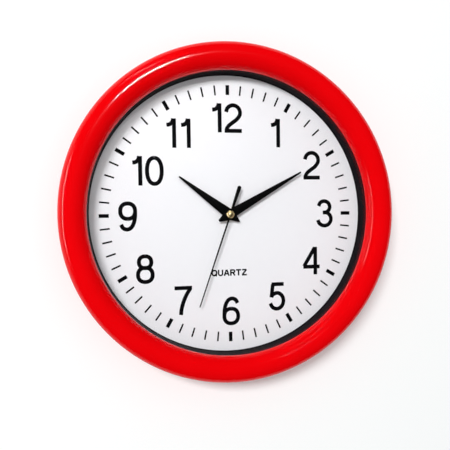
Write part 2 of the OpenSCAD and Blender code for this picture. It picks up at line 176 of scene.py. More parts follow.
print("a square with soft corners has", len(softened([(0, 0), (1, 0), (1, 1), (0, 1)], 0.2)), "points")

# %% [markdown]
# ## Writing materials as sums
# A Principled surface suits all of these finishes: what makes plastic look moulded or brass look
# turned is how its colour, roughness and bump change from place to place. Wiring Math nodes by
# hand hides the formula, so a small class stands for one socket, and + - * or ** between a socket
# and a number, or two sockets, adds the Math node that does it. Everything is measured from the
# object's own origin, so a pattern stays put when a piece moves.

# %% A socket that can be calculated with
class Wire:
    """One output of a shader node. Arithmetic on wires adds Math nodes."""

    def __init__(self, tree, socket=None):
        self.tree = tree
        self.socket = socket

    def node(self, kind, settings=None, inputs=None, output=0):
        """Adds any node: its settings first, then a number, colour or wire for each socket."""
        made = self.tree.nodes.new("ShaderNode" + kind)
        for name, value in (settings or {}).items():
            setattr(made, name, value)
        for name, value in (inputs or {}).items():
            if isinstance(value, Wire):
                self.tree.links.new(value.socket, made.inputs[name])
            else:
                made.inputs[name].default_value = value
        return Wire(self.tree, made.outputs[output] if made.outputs else None)

    def maths(self, operation, first, second=0.0):
        return self.node("Math", {"operation": operation}, {0: first, 1: second})

    def __add__(self, other):
        return self.maths("ADD", self, other)

    def __sub__(self, other):
        return self.maths("SUBTRACT", self, other)

    def __rsub__(self, other):
        return self.maths("SUBTRACT", other, self)

    def __mul__(self, other):
        return self.maths("MULTIPLY", self, other)

    def __pow__(self, other):
        return self.maths("POWER", self, other)

    def __rpow__(self, other):
        return self.maths("POWER", other, self)

    __radd__ = __add__
    __rmul__ = __mul__


print("a Wire knows", [name for name in vars(Wire) if name.startswith("__r")], "as well as their plain forms")

# %% [markdown]
# ## Words for patterns
# A finish is easier to read as a sentence than as a tree of nodes. So each kind of change gets a
# short word: grain for cloudy noise, rise for a soft threshold, tint for a colour between two
# others, ripple for a wave that repeats. An image texture could hold the same patterns, but a
# formula stays sharp however near the camera comes.

# %% Words for patterns
def begin(name):
    """An empty material, and the wire with each point's place on its object."""
    material = bpy.data.materials.new(name)
    material.use_nodes = True
    material.node_tree.nodes.clear()
    return material, Wire(material.node_tree).node("TexCoord", output="Object")


def grain(place, size, detail=2.0, stretch=None):
    """Cloudy noise from 0 to 1, with lumps about size mm across. Stretch scales each axis first."""
    if stretch:
        place = place.node("VectorMath", {"operation": "MULTIPLY"}, {0: place, 1: stretch})
    return place.node("TexNoise", inputs={"Vector": place, "Scale": 1 / (size * MM), "Detail": detail})


def rise(value, low, high):
    """0 below low, 1 above high, and a smooth step between."""
    settings = {"interpolation_type": "SMOOTHSTEP"}
    return value.node("MapRange", settings, {"Value": value, "From Min": low, "From Max": high})


def tint(share, low, high):
    """One colour where share is 0, going to another where it is 1."""
    return share.node("Mix", {"data_type": "RGBA"}, {0: share, 6: (*low, 1), 7: (*high, 1)}, output=2)


def along(place, letter):
    """A point's x, y or z, in mm."""
    return place.node("SeparateXYZ", inputs={0: place}, output=letter) * (1 / MM)


def off_axis(place):
    """How far a point is from the hands' axis, in mm: the root of x squared plus z squared."""
    x, z = along(place, "X"), along(place, "Z")
    return (x * x + z * z) ** 0.5


def ripple(distance, pitch):
    """A wave from 0 to 1 that repeats every pitch mm."""
    return distance.maths("SINE", distance * (tau / pitch)) * 0.5 + 0.5


def finish_with(material, inputs, height=None, depth=0.0):
    """Closes a material with a Principled surface. The height, from 0 to 1, dents it by depth mm."""
    start = Wire(material.node_tree)
    if height:
        bump = {"Height": height, "Distance": depth * MM, "Strength": 1.0}
        inputs = {**inputs, "Normal": start.node("Bump", inputs=bump)}
    start.node("OutputMaterial", inputs={"Surface": start.node("BsdfPrincipled", inputs=inputs)})
    return material


FINISHES = {}
print("patterns: grain, rise, tint, along, off_axis, ripple")

# %% [markdown]
# ## The bezel's red
# The bezel is moulded in red ABS and polished in the mould. A mirror would look like chrome, so
# the surface keeps a faint orange peel, which bends the edges of each reflection a little, and its
# roughness drifts where the mould was polished less. A thin clear coat carries the sharp white
# streak, while the red under it stays deep.

# %% Red gloss
def red_gloss():
    material, place = begin("red_gloss")
    drift = grain(place, 34)
    peel = grain(place, 2.2, 1.0)
    scuffs = rise(grain(place, 0.7, 3.0, (1.0, 0.3, 1.0)), 0.58, 0.75)
    return finish_with(material, {
        "Base Color": tint(drift, (0.77, 0.0004, 0.0020), (0.84, 0.0006, 0.0030)),
        "Roughness": drift * 0.04 + scuffs * 0.05 + 0.12,
        "Specular IOR Level": 0.04,
        "Coat Weight": 0.32 - scuffs * 0.08,
        "Coat Roughness": 0.03,
        "Coat IOR": 1.30,
    }, peel, 0.008)


FINISHES["bezel_plastic"] = red_gloss()
print("bezel:", FINISHES["bezel_plastic"].name)

# %% [markdown]
# ## Blacks
# Four blacks sit side by side on this clock, and only their gloss tells them apart: the ring round
# the dial is polished, the rear case is spark eroded to hide scratches, the hands are sprayed
# satin, and the dial's ink is flat. One black with four roughnesses would nearly do, but each has
# its own lump size too. The ring, the paint and the ink reflect less than real ones would, so that
# they stay black beside a dial this bright.

# %% Black plastics, paint, ink and rubber
def polished_black():
    material, place = begin("polished_black")
    drift = grain(place, 18)
    streaks = grain(place, 3.0, 2.0, (1.0, 0.25, 1.0))
    return finish_with(material, {
        "Base Color": tint(drift, (0.0035, 0.0022, 0.0035), (0.0070, 0.0050, 0.0070)),
        "Roughness": drift * 0.08 + 0.30,
        "Specular IOR Level": 0.02,
    }, streaks, 0.008)


def eroded_black(name, size, depth):
    material, place = begin(name)
    pits = grain(place, size, 3.0)
    drift = grain(place, 26)
    worn = rise(grain(place, 9, 4.0), 0.55, 0.72)
    return finish_with(material, {
        "Base Color": tint(pits * 0.6 + worn * 0.4, (0.014, 0.014, 0.015), (0.034, 0.034, 0.037)),
        "Roughness": 0.62 - worn * 0.12 + drift * 0.08,
        "Specular IOR Level": 0.4,
    }, pits, depth)


def satin_paint():
    material, place = begin("satin_paint")
    spray = grain(place, 0.25, 2.0)
    drift = grain(place, 12)
    return finish_with(material, {
        "Base Color": tint(drift, (0.0012, 0.0012, 0.0012), (0.0032, 0.0032, 0.0035)),
        "Roughness": 0.42 + spray * 0.12,
        "Specular IOR Level": 0.008,
    }, spray, 0.006)


def printed_ink():
    material, place = begin("printed_ink")
    cover = grain(place, 0.35, 3.0)
    return finish_with(material, {
        "Base Color": tint(cover, (0.0015, 0.0015, 0.0020), (0.0045, 0.0045, 0.0055)),
        "Roughness": 0.50 + cover * 0.15,
        "Specular IOR Level": 0.006,
    }, cover, 0.004)


def black_rubber():
    material, place = begin("black_rubber")
    skin_grain = grain(place, 0.4, 3.0)
    return finish_with(material, {
        "Base Color": tint(skin_grain, (0.018, 0.018, 0.018), (0.035, 0.034, 0.033)),
        "Roughness": 0.75 + skin_grain * 0.15,
    }, skin_grain, 0.03)


FINISHES["ring_plastic"] = polished_black()
FINISHES["case_plastic"] = eroded_black("eroded_case", 0.55, 0.05)
FINISHES["movement_plastic"] = eroded_black("eroded_movement", 0.35, 0.03)
FINISHES["hand_paint"] = satin_paint()
FINISHES["rubber"] = black_rubber()
ink = printed_ink()
print("blacks: ring, case, movement, paint, rubber and", ink.name)

# %% [markdown]
# ## Pale plastics and the dial
# The dial is a coated white sheet. It could be one flat white, but its coating has a fine tooth
# that spreads the light, and its white drifts a little. Gears and bobbins are natural acetal, which
# is slightly warm and lets light into its surface, and the setting knob is a grey moulding.

# %% Dial white, acetal and pale grey
def dial_white():
    material, place = begin("dial_white")
    tooth = grain(place, 0.3, 3.0)
    drift = grain(place, 70)
    return finish_with(material, {
        "Base Color": tint(drift * 0.7 + tooth * 0.3, (0.915, 0.918, 0.955), (0.940, 0.942, 0.980)),
        "Roughness": 0.46 + tooth * 0.10,
        "Specular IOR Level": 0.3,
    }, tooth, 0.002)


def pale_moulding(name, low, high, gloss):
    material, place = begin(name)
    drift = grain(place, 6)
    swirl = grain(place, 0.8, 3.0)
    return finish_with(material, {
        "Base Color": tint(drift * 0.6 + swirl * 0.4, low, high),
        "Roughness": gloss + swirl * 0.12,
        "Subsurface Weight": 0.08,
        "Subsurface Radius": (1.0, 0.9, 0.7),
        "Subsurface Scale": 0.0006,
    }, swirl, 0.012)


FINISHES["dial_sheet"] = dial_white()
FINISHES["ivory_plastic"] = pale_moulding("acetal", (0.70, 0.67, 0.56), (0.80, 0.77, 0.67), 0.38)
FINISHES["knob_plastic"] = pale_moulding("grey_knob", (0.50, 0.50, 0.48), (0.60, 0.60, 0.58), 0.45)
print("pale finishes:", FINISHES["dial_sheet"].name, "acetal and grey knob")

# %% [markdown]
# ## Metals
# A metal part shows how it was made. Turned brass carries rings round its axis, zinc plate is
# patchy and a little cloudy, a drawn can has lines along its length, and stamped pole sheet has
# the grain of the rolling mill. Anisotropic shading gives such lines their sheen without drawing
# them. Here a stretched noise or a ripple in roughness and bump draws the lines themselves.

# %% Brass, zinc, drawn and rolled steel, copper wire, ferrite
def turned_brass():
    material, place = begin("turned_brass")
    rings = ripple(off_axis(place), 0.16)
    drift = grain(place, 1.6, 3.0)
    return finish_with(material, {
        "Base Color": tint(drift, (0.80, 0.60, 0.26), (0.92, 0.76, 0.42)),
        "Metallic": 1.0,
        "Roughness": 0.16 + drift * 0.10 + rings * 0.04,
    }, rings, 0.0012)


def worked_metal(name, low, high, rough, size, stretch, depth):
    material, place = begin(name)
    lines = grain(place, size, 3.0, stretch)
    clouds = grain(place, 4.5, 3.0)
    return finish_with(material, {
        "Base Color": tint(clouds * 0.7 + lines * 0.3, low, high),
        "Metallic": 1.0,
        "Roughness": rough + clouds * 0.12 + lines * 0.08,
    }, lines, depth)


def wound_copper():
    material, place = begin("wound_copper")
    # The ripple of the turns is the wire's real relief in the bump, and in the colour it darkens the grooves
    # between turns as painted shade.
    turns = ripple(along(place, "X"), 0.14)
    drift = grain(place, 1.2, 3.0)
    return finish_with(material, {
        "Base Color": tint(turns * 0.6 + drift * 0.4, (0.32, 0.10, 0.03), (0.72, 0.34, 0.15)),
        "Metallic": 0.85,
        "Roughness": 0.28 + drift * 0.12,
        "Coat Weight": 0.3 + drift * 0.2,
    }, turns, 0.03)


def sintered_ferrite():
    material, place = begin("sintered_ferrite")
    crystals = grain(place, 0.12, 4.0)
    return finish_with(material, {
        "Base Color": tint(crystals, (0.025, 0.025, 0.027), (0.065, 0.065, 0.068)),
        "Metallic": 0.3 + crystals * 0.2,
        "Roughness": 0.5 + crystals * 0.2,
    }, crystals, 0.02)


FINISHES["brass"] = turned_brass()
FINISHES["zinc_steel"] = worked_metal(
    "zinc_plate", (0.52, 0.53, 0.56), (0.70, 0.71, 0.74), 0.22, 0.5, (1.0, 1.0, 1.0), 0.006)
FINISHES["can_steel"] = worked_metal(
    "drawn_steel", (0.60, 0.61, 0.63), (0.74, 0.75, 0.77), 0.12, 0.4, (1.0, 1.0, 0.08), 0.004)
FINISHES["pole_steel"] = worked_metal(
    "rolled_steel", (0.40, 0.40, 0.42), (0.56, 0.56, 0.58), 0.30, 0.3, (0.05, 1.0, 1.0), 0.008)
FINISHES["copper_wire"] = wound_copper()
FINISHES["ferrite"] = sintered_ferrite()
print("metals and ferrite:", len(FINISHES), "finishes so far")

# %% [markdown]
# ## The circuit board, its resin drop and the battery's sleeve
# The board's solder mask is green lacquer over copper tracks, which stand out as faint raised
# lines. The chip under its drop of black resin has the lumpy gloss of something poured. The
# battery's sleeve is a plain printed film: one pale band near its positive end, and bare steel
# where the film stops short of the ends. An image could carry such printing, but sums of distances
# keep it sharp at any size.

# %% Board, resin and battery
def green_board():
    material, place = begin("green_board")
    tracks = rise(ripple(along(place, "X") + along(place, "Z") * 0.5, 1.6), 0.62, 0.72)
    mottle = grain(place, 0.9, 3.0)
    return finish_with(material, {
        "Base Color": tint(tracks * 0.7 + mottle * 0.3, (0.012, 0.085, 0.030), (0.035, 0.200, 0.070)),
        "Roughness": 0.28 + mottle * 0.15,
        "Coat Weight": 0.4 + mottle * 0.2,
    }, tracks, 0.03)


def poured_resin():
    material, place = begin("poured_resin")
    lumps = grain(place, 1.3, 2.0)
    return finish_with(material, {
        "Base Color": tint(lumps, (0.008, 0.008, 0.009), (0.018, 0.018, 0.019)),
        "Roughness": 0.14 + lumps * 0.12,
    }, lumps, 0.06)


cell = face_on("battery_cell")
cell_y = (cell["bottom"] + cell["top"]) / 2
cell_h = (cell["rear"] + cell["front"]) / 2
cell_r = (cell["top"] - cell["bottom"]) / 2


def battery_sleeve():
    material, place = begin("battery_sleeve")
    across = along(place, "Z") - cell_y
    deep = along(place, "Y") + cell_h
    bare = 1 - rise((across * across + deep * deep) ** 0.5, cell_r - 0.45, cell_r - 0.35)
    end = along(place, "X")
    band_from, band_to = cell["right"] - 9, cell["right"] - 7
    band = rise(end, band_from, band_from + 0.1) - rise(end, band_to, band_to + 0.1)
    film = tint(band, (0.012, 0.022, 0.060), (0.62, 0.64, 0.66))
    wear = grain(place, 1.1, 4.0, (0.4, 1.0, 1.0))
    colours = {0: bare, 6: film, 7: tint(wear, (0.50, 0.51, 0.53), (0.66, 0.67, 0.69))}
    return finish_with(material, {
        "Base Color": bare.node("Mix", {"data_type": "RGBA"}, colours, output=2),
        "Metallic": bare,
        "Roughness": 0.24 + wear * 0.14,
        "Coat Weight": 0.5 - bare * 0.5,
    }, wear, 0.006)


FINISHES["board"] = green_board()
FINISHES["chip_resin"] = poured_resin()
FINISHES["cell_label"] = battery_sleeve()
print("battery radius", round(cell_r, 2), "at height", round(cell_h, 2))

# %% [markdown]
# ## Clear glass
# The window is flat float glass. Its body is a Principled surface that lets all light through,
# with faint wiping marks in its coat and, barely, in its tint. Glass would throw a shadow as if it
# were solid, because light that bends is hard to trace. A thin Transparent sheet would avoid that
# but lose the bending at the edge. So the glass turns transparent only for shadow rays, and for
# the light that the white dial scatters.

# %% Window glass
def window_glass():
    material, place = begin("window_glass")
    start = Wire(material.node_tree)
    wiped = rise(grain(place, 40, 4.0, (1.0, 1.0, 0.4)), 0.55, 0.8)
    pane = start.node("BsdfPrincipled", inputs={
        "Base Color": tint(wiped, (0.985, 0.995, 0.990), (0.980, 0.990, 0.988)),
        "Transmission Weight": 1.0,
        "Roughness": 0.0,
        "IOR": 1.45,
        "Specular IOR Level": 0.5,
        "Coat Weight": wiped * 0.008,
        "Coat Roughness": 0.3,
    })
    clear = start.node("BsdfTransparent")
    scattered = start.node("LightPath", output="Is Diffuse Ray")
    even = start.node("MixShader", inputs={0: scattered, 1: pane, 2: clear})
    shadow = start.node("LightPath", output="Is Shadow Ray")
    through = start.node("MixShader", inputs={0: shadow, 1: even, 2: clear})
    start.node("OutputMaterial", inputs={"Surface": through})
    return material


FINISHES["window_glass"] = window_glass()
print(len(FINISHES), "finishes in all")

# %% [markdown]
# ## Finishes for the working parts
# Each working part names its finish in the record. Forty materials could be set by hand, but one
# table keyed by those names dresses them all. Their shapes are exact already, and only the material
# is set.

# %% Dress the frame's nodes
for part in frame["record"]["subparts"]:
    node = frame["nodes"][part["node"]]
    for place_for_finish in node.material_slots:
        place_for_finish.material = FINISHES[part["material_slot"]]

# %% [markdown]
# ## The bezel
# The bezel is one moulding: a half-round crown in front, a long shallow arc down the flank to the
# wall side, a lip that holds the glass, and a skirt round the glass's edge. A torus with a Solidify
# modifier would give the crown but not the lip. So the section is one closed line, outside and
# inside, which is carried round the axis. Six bosses inside take the screws.

# %% Bezel
wall = 2.2
crown_r = 12.0
outer_r = bezel_box["right"]
crown_at = (outer_r - crown_r, bezel_box["front"] - crown_r)
sight_r = crown_at[0] - crown_r
flank_inset = 5.5
flank_depth = crown_at[1] - bezel_box["rear"]
flank_r = (flank_depth**2 + flank_inset**2) / (2 * flank_inset)
skirt_r = face_on("glass")["right"] + 0.4
lip_h = face_on("glass")["front"]
skirt_foot = 15
crown_steps = 72
crown_foot_angle = 171.8


def flank(inset, steps=30):
    """The flank's arc from the crown's side back to the rear edge, moved inwards by inset."""
    h = np.linspace(crown_at[1], bezel_box["rear"], steps)
    return np.stack([outer_r - flank_r + ((flank_r - inset) ** 2 - (crown_at[1] - h) ** 2) ** 0.5, h], -1)


crown_inside = arc(crown_at, crown_r - wall, crown_r - wall, crown_foot_angle, 0, 40)
bezel_line = np.concatenate([
    flank(0)[:0:-1],
    arc(crown_at, crown_r, crown_r, 0, 180, crown_steps),
    [(sight_r, lip_h), (skirt_r, lip_h), (skirt_r, skirt_foot), (skirt_r + wall, skirt_foot)],
    [(skirt_r + wall, crown_at[1] + wall - 0.8)],
    crown_inside,
    flank(wall)[1:],
])
reach = np.zeros(len(bezel_line))
reach[0] = reach[-1] = 0.35
lip_corner = len(flank(0)) - 1 + crown_steps
reach[lip_corner:lip_corner + 4] = (0.25, 0.1, 0.3, 0.3)
shell = turned(softened(bezel_line, reach))
bezel = skin("bezel_moulding", [shell], FINISHES["bezel_plastic"], "case")
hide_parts("bezel")

boss_r, boss_foot, boss_top = 3.6, 14, 46.4
hole_r, hole_end = 1.3, 30
boss_line = [
    (NEAR_AXIS, hole_end),
    (hole_r, hole_end),
    (hole_r, boss_foot),
    (boss_r - 0.2, boss_foot),
    (boss_r, boss_foot + 0.2),
    (boss_r, boss_top),
    (NEAR_AXIS, boss_top),
]
boss_ring = crown_at[0] + 0.6
boss_angles = [radians(90 + 60 * k) for k in range(6)]
bosses = [turned(boss_line, 40, (boss_ring * cos(a), boss_ring * sin(a))) for a in boss_angles]
skin("bezel_bosses", bosses, FINISHES["bezel_plastic"], "case", capped=True)

# %% [markdown]
# ## The black ring
# A moulded ring keeps the glass off the dial. Seen from the front it is the dark band between the
# red lip and the white dial, widest on the side that faces the viewer. A plain tube would look like
# a painted stripe. This wall leans out a little so that it leaves the mould, and it has a rounded
# step at its foot.

# %% Spacer ring
ring = face_on("spacer_ring")
ring_foot, ring_top, ring_out = ring["rear"], ring["front"], ring["right"]
flange = 1.6
ring_line = softened([
    (sight_r - 1, ring_foot),
    (ring_out, ring_foot),
    (ring_out, ring_foot + flange),
    (sight_r + 1.6, ring_foot + flange),
    (sight_r + 2, ring_top - flange),
    (ring_out, ring_top - flange),
    (ring_out, ring_top),
    (sight_r + 0.3, ring_top),
    (sight_r - 0.5, ring_foot + 2.4),
    (sight_r - 1, ring_foot + 1.9),
], (0.1, 0.2, 0.2, 0.4, 0.4, 0.2, 0.2, 0.25, 0.2, 0.2))
ring_piece = skin("ring_moulding", [turned(ring_line)], FINISHES["ring_plastic"], "case")
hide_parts("spacer_ring")

# %% [markdown]
# ## Printing on the dial
# Screen printing lays down a film of ink with an even width of line. So each numeral is drawn as
# its middle line, and a flat strip of the line's width is carried along it, standing a few
# hundredths of a millimetre proud. A font would bring somebody's letter shapes along; these plain
# strokes are only arcs and straights.

# %% Strokes
FIRST_LIFT, LIFT_STEP = 0.036, 0.003


def flow(points, steps=6):
    """A smooth line through the points: a Catmull-Rom curve, which at each point heads the way
    that its two neighbours lie."""
    p = np.asarray(points, float)
    p = np.concatenate([[2 * p[0] - p[1]], p, [2 * p[-1] - p[-2]]])
    t = np.linspace(0, 1, steps, endpoint=False)[None, :, None]
    a, b, c, d = (p[k:len(p) - 3 + k, None] for k in range(4))
    curve = 0.5 * (2 * b + (c - a) * t + (2 * a - 5 * b + 4 * c - d) * t**2 + (3 * b - a - 3 * c + d) * t**3)
    return np.concatenate([curve.reshape(-1, 2), p[-2:-1]])


def stroke(path, width, lift=0.04):
    """A strip of even width along a path: each row has four corners, half the width to either side
    of the path, below the dial's surface and above it."""
    line = np.asarray(path, float)
    heading = np.gradient(line, axis=0)
    heading /= np.linalg.norm(heading, axis=1, keepdims=True)
    side = np.stack([-heading[:, 1], heading[:, 0]], -1) * width / 2
    left, right = line + side, line - side
    low, high = dial_front - 0.05, dial_front + lift
    heights = [np.full((len(line), 1), h) for h in (low, low, high, high)]
    corners = [np.hstack([at, h]) for at, h in zip((left, right, right, left), heights)]
    return np.stack(corners, axis=1)


def drawn(paths, place, width):
    """Strips along the paths of one sign, moved to its place. Each strip stands a step higher
    than the one before, so that two never lie in one plane where they cross."""
    lifts = [FIRST_LIFT + LIFT_STEP * k for k in range(len(paths))]
    return [stroke(np.asarray(path) + place, width, lift) for path, lift in zip(paths, lifts)]


print("a line through 3 points flows through", len(flow([(0, 0), (1, 1), (2, 0)])), "points")

# %% [markdown]
# ## The numerals
# Every digit is drawn once, in a box of about 16 by 26 mm, and then it is moved to its place. It
# could be a curve object with a bevel, but a plain bevel is round and ink is flat. The nine is the
# six after half a turn, so it needs no drawing of its own.

# %% Numerals
def loop(centre, across, up):
    """A closed oval: x is across times the cosine's size to the power 0.9, with its sign kept, and
    y is up times the sine's. It is a little squarer than an ellipse."""
    angle = np.radians(np.linspace(90, 450, 49))
    round_part = np.stack([np.cos(angle), np.sin(angle)], axis=-1)
    return np.asarray(centre) + (across, up) * np.sign(round_part) * np.abs(round_part) ** 0.90


six_tail = flow([
    (1.65, 9.2), (1.95, 14.4), (3.3, 19.6), (5.7, 23.2), (9.0, 24.5), (12.3, 23.3), (14.2, 20.1)])
six = [loop((8.15, 8.3), 6.5, 6.8), six_tail]
DIGITS = {
    "0": [loop((8.15, 13), 6.5, 11.5)],
    "1": [[(6.75, 0), (6.75, 26)], flow([(0.0, 20.3), (2.4, 20.6), (4.5, 22.0), (5.7, 24.2), (6.0, 26)])],
    "2": [
        flow([*arc((8.1, 17.9), 6.45, 6.6, 176, -22, 8),
              (11.4, 11.8), (7.5, 8.9), (4.1, 6.2), (2.3, 3.6), (1.8, 1.5)]),
        [(0.1, 1.5), (16.1, 1.5)],
    ],
    "3": [
        flow([*arc((8.0, 19.1), 5.5, 5.4, 172, -70, 8), (6.6, 13.75)]),
        flow([(6.6, 13.75), *arc((8.2, 7.75), 6.5, 6.3, 72, -172, 9)]),
    ],
    "4": [[(12.1, 0), (12.1, 26)], [(0.3, 7.4), (16.4, 7.4)], [(1.0, 7.9), (11.6, 25.4)]],
    "5": [
        [(3.3, 24.5), (15.0, 24.5)],
        [(4.5, 24.6), (3.0, 12.3)],
        flow([(2.9, 12.6), (4.9, 15.2), *arc((8.1, 8.95), 6.5, 7.45, 84, -163, 9)]),
    ],
    "6": six,
    "7": [[(0.3, 24.5), (16.2, 24.5)], flow([(15.0, 24.4), (11.2, 18.4), (8.2, 11.6), (6.4, 5.0), (5.9, 0)])],
    "8": [loop((8.15, 19.2), 5.5, 5.3), loop((8.15, 7.85), 6.5, 6.35)],
    "9": [np.array([16.3, 26.0]) - part for part in six],
}
NUMERALS = [
    ("1", -14.2, 74.2), ("2", -3.1, 74.2), ("1", 40.5, 61.2), ("2", 71.2, 31.9), ("3", 83.4, -13.1),
    ("4", 70.2, -57.4), ("5", 36.2, -89.9), ("6", -7.3, -101.6), ("7", -51.4, -90.4), ("8", -85.1, -60.8),
    ("9", -99.5, -13.7), ("1", -86.4, 26.5), ("0", -75.3, 26.5), ("1", -55.7, 60.0), ("1", -42.6, 60.0),
]
NUMERAL_WIDTH = 3.6
numeral_strokes = [strip for digit, *at in NUMERALS for strip in drawn(DIGITS[digit], at, NUMERAL_WIDTH)]
skin("dial_numerals", numeral_strokes, ink, "case", capped=True)

# %% [markdown]
# ## Minute marks and the word under the axis
# Sixty marks stand on one circle, with a wider one at each hour. An Array modifier turning round an
# empty would copy one mark sixty times, but every fifth is wider, so a loop lays them all. The word
# says only what kind of movement is inside.

# %% Minute marks and lettering
MARK_FROM, MARK_TO = 107.8, 116.6
HOUR_MARK, MINUTE_MARK = 3.3, 1.5
marks = []
for minute in range(60):
    outward = np.array([sin(radians(6 * minute)), cos(radians(6 * minute))])
    width = MINUTE_MARK if minute % 5 else HOUR_MARK
    marks.append(stroke([outward * MARK_FROM, outward * MARK_TO], width))
skin("dial_minute_marks", marks, ink, "case", capped=True)

LETTERS = [
    ("Q", 5.2, [loop((2.6, 2.85), 2.1, 2.35), [(3.1, 1.7), (4.8, 0.0)]]),
    ("U", 4.6, [flow([(0.5, 5.7), (0.5, 3.6), (0.55, 1.8), (1.2, 0.8), (2.3, 0.5),
                      (3.4, 0.8), (4.05, 1.8), (4.1, 3.6), (4.1, 5.7)])]),
    ("A", 5.2, [[(0.45, 0), (2.4, 5.6)], [(4.75, 0), (2.8, 5.6)], [(1.2, 1.9), (4.0, 1.9)]]),
    ("R", 4.7, [[(0.5, 0), (0.5, 5.7)], [(2.7, 2.8), (4.2, 0)],
                flow([(0.5, 5.2), (2.6, 5.2), (3.7, 4.95), (4.1, 4.05),
                      (3.7, 3.15), (2.6, 2.85), (0.5, 2.85)])]),
    ("T", 4.6, [[(0, 5.2), (4.6, 5.2)], [(2.3, 5.2), (2.3, 0)]]),
    ("Z", 4.6, [[(0.3, 5.2), (4.5, 5.2)], [(4.1, 4.9), (0.5, 0.8)], [(0.1, 0.5), (4.6, 0.5)]]),
]
LETTER_WIDTH, LETTER_GAP = 1.38, 0.78
word, letter_at = [], [-16.9, -56.1]
for letter, width, paths in LETTERS:
    word += drawn(paths, letter_at, LETTER_WIDTH)
    letter_at[0] += width + LETTER_GAP
skin("dial_word", word, ink, "case", capped=True)

# %% [markdown]
# ## Hands
# The hands are punched from thin aluminium and painted. The punch rolls the edge over, so a hand
# that is a sharp-edged plate looks cut from paper. An extruded outline with a Bevel modifier would
# come close. A grid says where every row of points lies: the first is the hole for the pipe, and
# the later ones go over the front, round the softened edge and back.

# %% Hands
def hand(outline, hole, angle, box, edge):
    """Rows: the hole's circle at the rear and the front, the outline drawn in by edge on the
    front, the full outline at two heights, and the drawn-in outline on the rear. The drawing turns
    clockwise by angle: x is x cos a + y sin a, and y is y cos a - x sin a."""
    line = np.asarray(outline, float)
    along_line = np.roll(line, -1, axis=0) - np.roll(line, 1, axis=0)
    along_line /= np.linalg.norm(along_line, axis=1, keepdims=True)
    inward = np.stack([along_line[:, 1], -along_line[:, 0]], -1)
    inward *= -np.sign((inward * line).sum())
    pipe = line / np.linalg.norm(line, axis=1, keepdims=True) * hole
    rear, front = box["rear"], box["front"]
    soft, half = line + inward * edge, line + inward * edge * 0.3
    rows = [(pipe, rear), (pipe, front), (soft, front), (half, front - edge * 0.3), (line, front - edge)]
    rows += [(line, rear + edge), (half, rear + edge * 0.3), (soft, rear)]
    a = radians(angle)
    turn = np.array([[cos(a), -sin(a)], [sin(a), cos(a)]])
    return np.stack([np.hstack([at @ turn, np.full((len(at), 1), h)]) for at, h in rows])


hour_line = softened(
    [(0.7, 57), (5, -1.2), (0.5, -11.3), (-0.5, -11.3), (-5, -1.2), (-0.7, 57)],
    (0.2, 0.9, 0.2, 0.2, 0.9, 0.2))
minute_line = softened(
    [(0.75, 77), (4.55, -3), (0.9, -12), (-0.9, -12), (-4.55, -3), (-0.75, 77)],
    (0.2, 0.8, 0.2, 0.2, 0.8, 0.2))
second_half = np.concatenate([
    [(0.5, 88), (0.8, 2.26)],
    arc((0, 0), 2.4, 2.4, 68, -64, 14),
    [(1.76, -24.6)],
    arc((0, -25.2), 1.8, 1.8, 0, -84, 10),
])
second_line = np.concatenate([second_half, second_half[::-1] * (-1, 1)])
HANDS = [
    ("hour_hand", hour_line, 2.5, 306.8, 0.09, "hour_hand_wheel"),
    ("minute_hand", minute_line, 1.5, 60.5, 0.09, "minute_hand_pipe"),
    ("second_hand", second_line, 0.55, 199.4, 0.06, "second_hand_arbor"),
]
for name, outline, hole, angle, edge, body in HANDS:
    grid = hand(outline, hole, angle, face_on(name), edge)
    piece = skin(name + "_blade", [grid], FINISHES["hand_paint"], body, crease=50)
    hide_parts(name)

# %% [markdown]
# ## The brass cap
# A turned button covers the end of the second hand's arbor. A flattened sphere would be near it,
# but would have no side. So it is turned from a line: part of a ball above a short side, with its
# lower edge broken by the tool.

# %% Cap
cap = face_on("second_cap")
ball_r = 4.36
ball_h = cap["front"] - ball_r
foot_r, side_r = 3.2, 3.42
cap_line = [
    (NEAR_AXIS, cap["rear"]),
    (foot_r, cap["rear"]),
    (side_r, cap["rear"] + 0.06),
    *arc((0, ball_h), ball_r, ball_r, 39, 89.7, 30),
]
button = turned(cap_line, 128)
cap_piece = skin("cap_button", [button], FINISHES["brass"], "second_hand_arbor", capped=True)
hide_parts("second_cap")

# %% [markdown]
# ## The battery
# A cell is a drawn steel can in a printed film, crimped round its negative end and stepped down at
# its positive end. A cylinder with bevelled ends would lose both steps, so the same turning makes
# it, laid on its side along x.

# %% Battery
left, right = cell["left"], cell["right"]
cell_line = [
    (NEAR_AXIS, left + 0.3), (5.4, left + 0.3), (5.7, left), (6.3, left),
    (6.7, left + 0.15), (6.9, left + 0.5), (7.1, left + 0.6), (cell_r, left + 0.9),
    (cell_r, right - 1.6), (7.1, right - 1.3), (6.8, right - 1.25), (6.6, right - 0.7),
    (6.1, right - 0.3), (5.2, right), (NEAR_AXIS, right),
]
upright = turned(cell_line, 96)
lying = np.stack([upright[..., 2], upright[..., 0] + cell_y, upright[..., 1] + cell_h], axis=-1)
cell_piece = skin("battery_can", [lying], FINISHES["cell_label"], "battery", capped=True)
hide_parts("battery_cell")

# %% [markdown]
# ## The room
# The clock hangs on a white wall, so the wall is the backdrop. Seen from behind, it would hide the
# clock, so its back is clear, as in a drawing that cuts the wall away. The paint is a little cool,
# which takes back some of the red that the bezel throws onto it. A world picture could light all
# this, but a plain glow is even and keeps the colours easy to judge. It has one strength for what
# the camera sees, one for reflections, and one for all other light.

